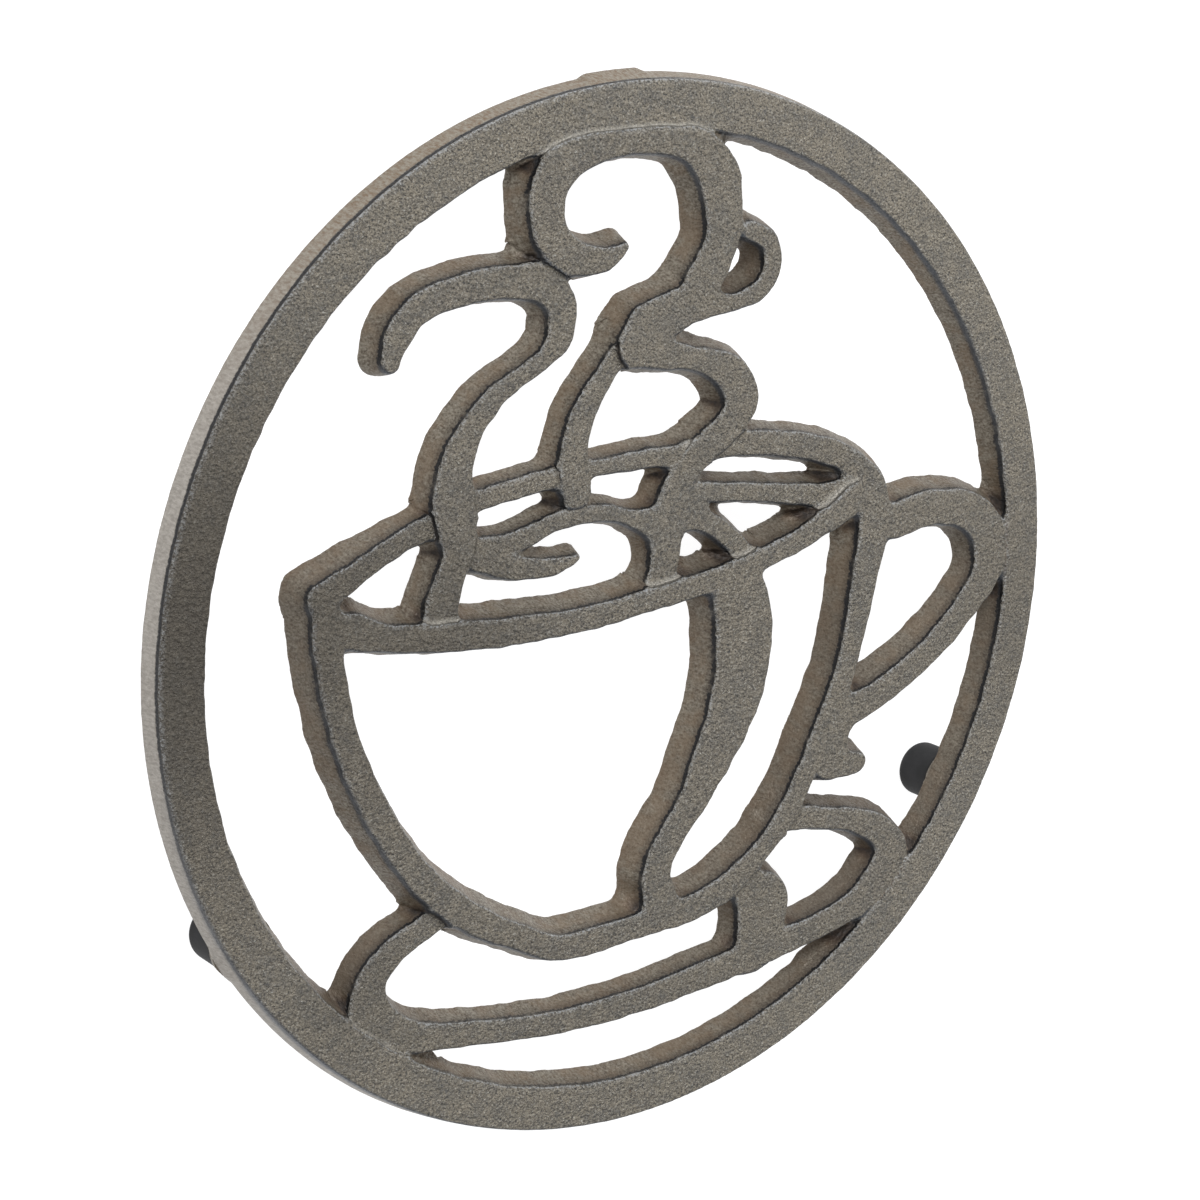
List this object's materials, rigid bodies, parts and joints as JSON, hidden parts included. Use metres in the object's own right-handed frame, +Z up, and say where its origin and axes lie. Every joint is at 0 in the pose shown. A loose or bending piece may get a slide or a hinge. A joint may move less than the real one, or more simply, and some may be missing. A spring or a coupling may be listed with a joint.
{
  "type": "trivet",
  "caption": "Round cast iron trivet with an openwork drawing of a steaming cup on its saucer, on pegs with rubber caps.",
  "frame": {"origin": "on the floor under the middle of the rim", "axes": "+Z up, +Y to the top of the drawing, +X to the drawing's right"},
  "size_m": [0.2, 0.2, 0.0164],
  "materials": {
    "iron": "as sand cast",
    "rubber": "matte moulded"
  },
  "bodies": {
    "casting": {"rim_with_pegs": "iron", "cup_wall": "iron", "cup_front_rim": "iron", "cup_highlight": "iron", "cup_handle": "iron", "top_swirl": "iron", "middle_steam": "iron", "left_steam": "iron", "saucer": "iron", "drink_surface": "iron", "cup_back_rim": "iron"},
    "top_cap": {"cap_top": "rubber"},
    "left_cap": {"cap_left": "rubber"},
    "right_cap": {"cap_right": "rubber"}
  },
  "joints": [
    {"name": "top_cap_pull_off", "type": "slide", "parent": "casting", "child": "top_cap", "axis": [0, 0, -1], "range_m": [0, 0.0075]},
    {"name": "left_cap_pull_off", "type": "slide", "parent": "casting", "child": "left_cap", "axis": [0, 0, -1], "range_m": [0, 0.0075]},
    {"name": "right_cap_pull_off", "type": "slide", "parent": "casting", "child": "right_cap", "axis": [0, 0, -1], "range_m": [0, 0.0075]}
  ]
}
